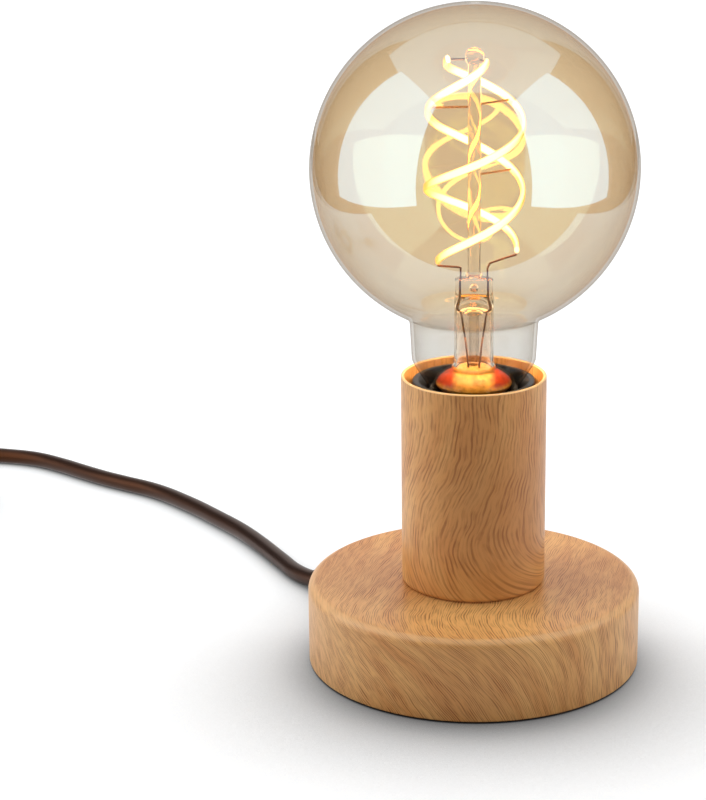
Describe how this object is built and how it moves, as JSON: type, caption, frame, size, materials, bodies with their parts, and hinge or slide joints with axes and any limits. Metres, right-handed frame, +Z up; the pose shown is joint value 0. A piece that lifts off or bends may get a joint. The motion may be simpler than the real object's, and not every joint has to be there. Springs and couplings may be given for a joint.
{
  "type": "table lamp",
  "caption": "Bare bulb table lamp: round base, short sleeve round a screw lampholder, globe bulb with a spiral filament, mains cord with a switch, a coil and a flat plug.",
  "frame": {"origin": "on the table, under the middle of the round base", "axes": "+Z up along the lamp's axis, +Y away from the viewer, +X to the viewer's right; the cord leaves towards -X +Y"},
  "size_m": [0.3651, 0.2475, 0.1985],
  "materials": {
    "printed_steel": "sheet steel with a printed oak grain under a satin clear coat",
    "weight_steel": "raw with a thin oil film",
    "zinc_steel": "zinc plated",
    "brass": "machined",
    "pad_foam": "closed-cell foam",
    "black_nylon": "moulded, satin",
    "holder_black": "pressed thermoset, half gloss",
    "cord_pvc": "smooth black PVC",
    "core_brown": "extruded PVC",
    "core_blue": "extruded PVC",
    "steatite": "unglazed",
    "gold_glass": "blown glass, half-mirrored gold that fades to clear at the neck",
    "clear_glass": "clear",
    "led_strand": "silicone strand, lit warm white",
    "bulb_wire": "drawn wire",
    "board": "solder mask",
    "cap_metal": "nickel plated",
    "cap_black": "glossy insulator",
    "tie_fabric": "woven hook-and-loop band"
  },
  "bodies": {
    "lamp": {"base_shell": "printed_steel", "weight_disc": "weight_steel", "pillars": "brass", "bottom_plate": "zinc_steel", "plate_screws": "zinc_steel", "foot_pad": "pad_foam", "sleeve_tube": "printed_steel", "nipple": "zinc_steel", "nipple_nuts": "brass", "nipple_washers": "zinc_steel", "cord_bushing": "cord_pvc", "cord_inner": "cord_pvc", "clamp_block": "black_nylon", "clamp_bridge": "black_nylon", "clamp_screws": "zinc_steel", "wire_brown": "core_brown", "wire_blue": "core_blue", "holder_cap": "holder_black", "holder_skirt": "holder_black", "holder_insert": "steatite", "screw_shell": "brass", "centre_contact": "brass", "side_contact": "brass", "terminals": "brass", "terminal_screws": "zinc_steel", "lock_screw": "zinc_steel", "cord_run": "cord_pvc", "cord_lead": "cord_pvc", "cord_coil": "cord_pvc", "cord_end": "cord_pvc", "cord_tie": "tie_fabric", "switch_bottom": "black_nylon", "switch_top": "black_nylon", "rocker_pin": "zinc_steel", "switch_contacts": "brass", "switch_screws": "zinc_steel", "plug_body": "cord_pvc", "plug_pins": "cap_metal"},
    "bulb_foot": {"cap_insulator": "cap_black", "cap_contact": "cap_metal"},
    "bulb": {"glass_envelope": "gold_glass", "stem_glass": "clear_glass", "exhaust_tube": "clear_glass", "glass_rod": "clear_glass", "filament_a": "led_strand", "filament_b": "led_strand", "support_wires": "bulb_wire", "lead_wires": "bulb_wire", "driver_board": "board", "screw_cap": "cap_metal"},
    "rocker": {"switch_rocker": "black_nylon"}
  },
  "joints": [
    {"name": "bulb_lift", "type": "slide", "parent": "lamp", "child": "bulb_foot", "axis": [0, 0, 1], "range_m": [0, 0.01815]},
    {"name": "bulb_turn", "type": "hinge", "parent": "bulb_foot", "child": "bulb", "pos_m": [0, 0, 0.0585], "axis": [0, 0, 1], "range_deg": [0, 1800]},
    {"name": "rocker_tilt", "type": "hinge", "parent": "lamp", "child": "rocker", "pos_m": [-0.253, 0.184, 0.0135], "axis": [0, 1, 0], "range_deg": [0, 18]}
  ],
  "couplings": [
    {"joint": "bulb_lift", "follows": "bulb_turn", "m_per_rad": 0.00057757}
  ]
}
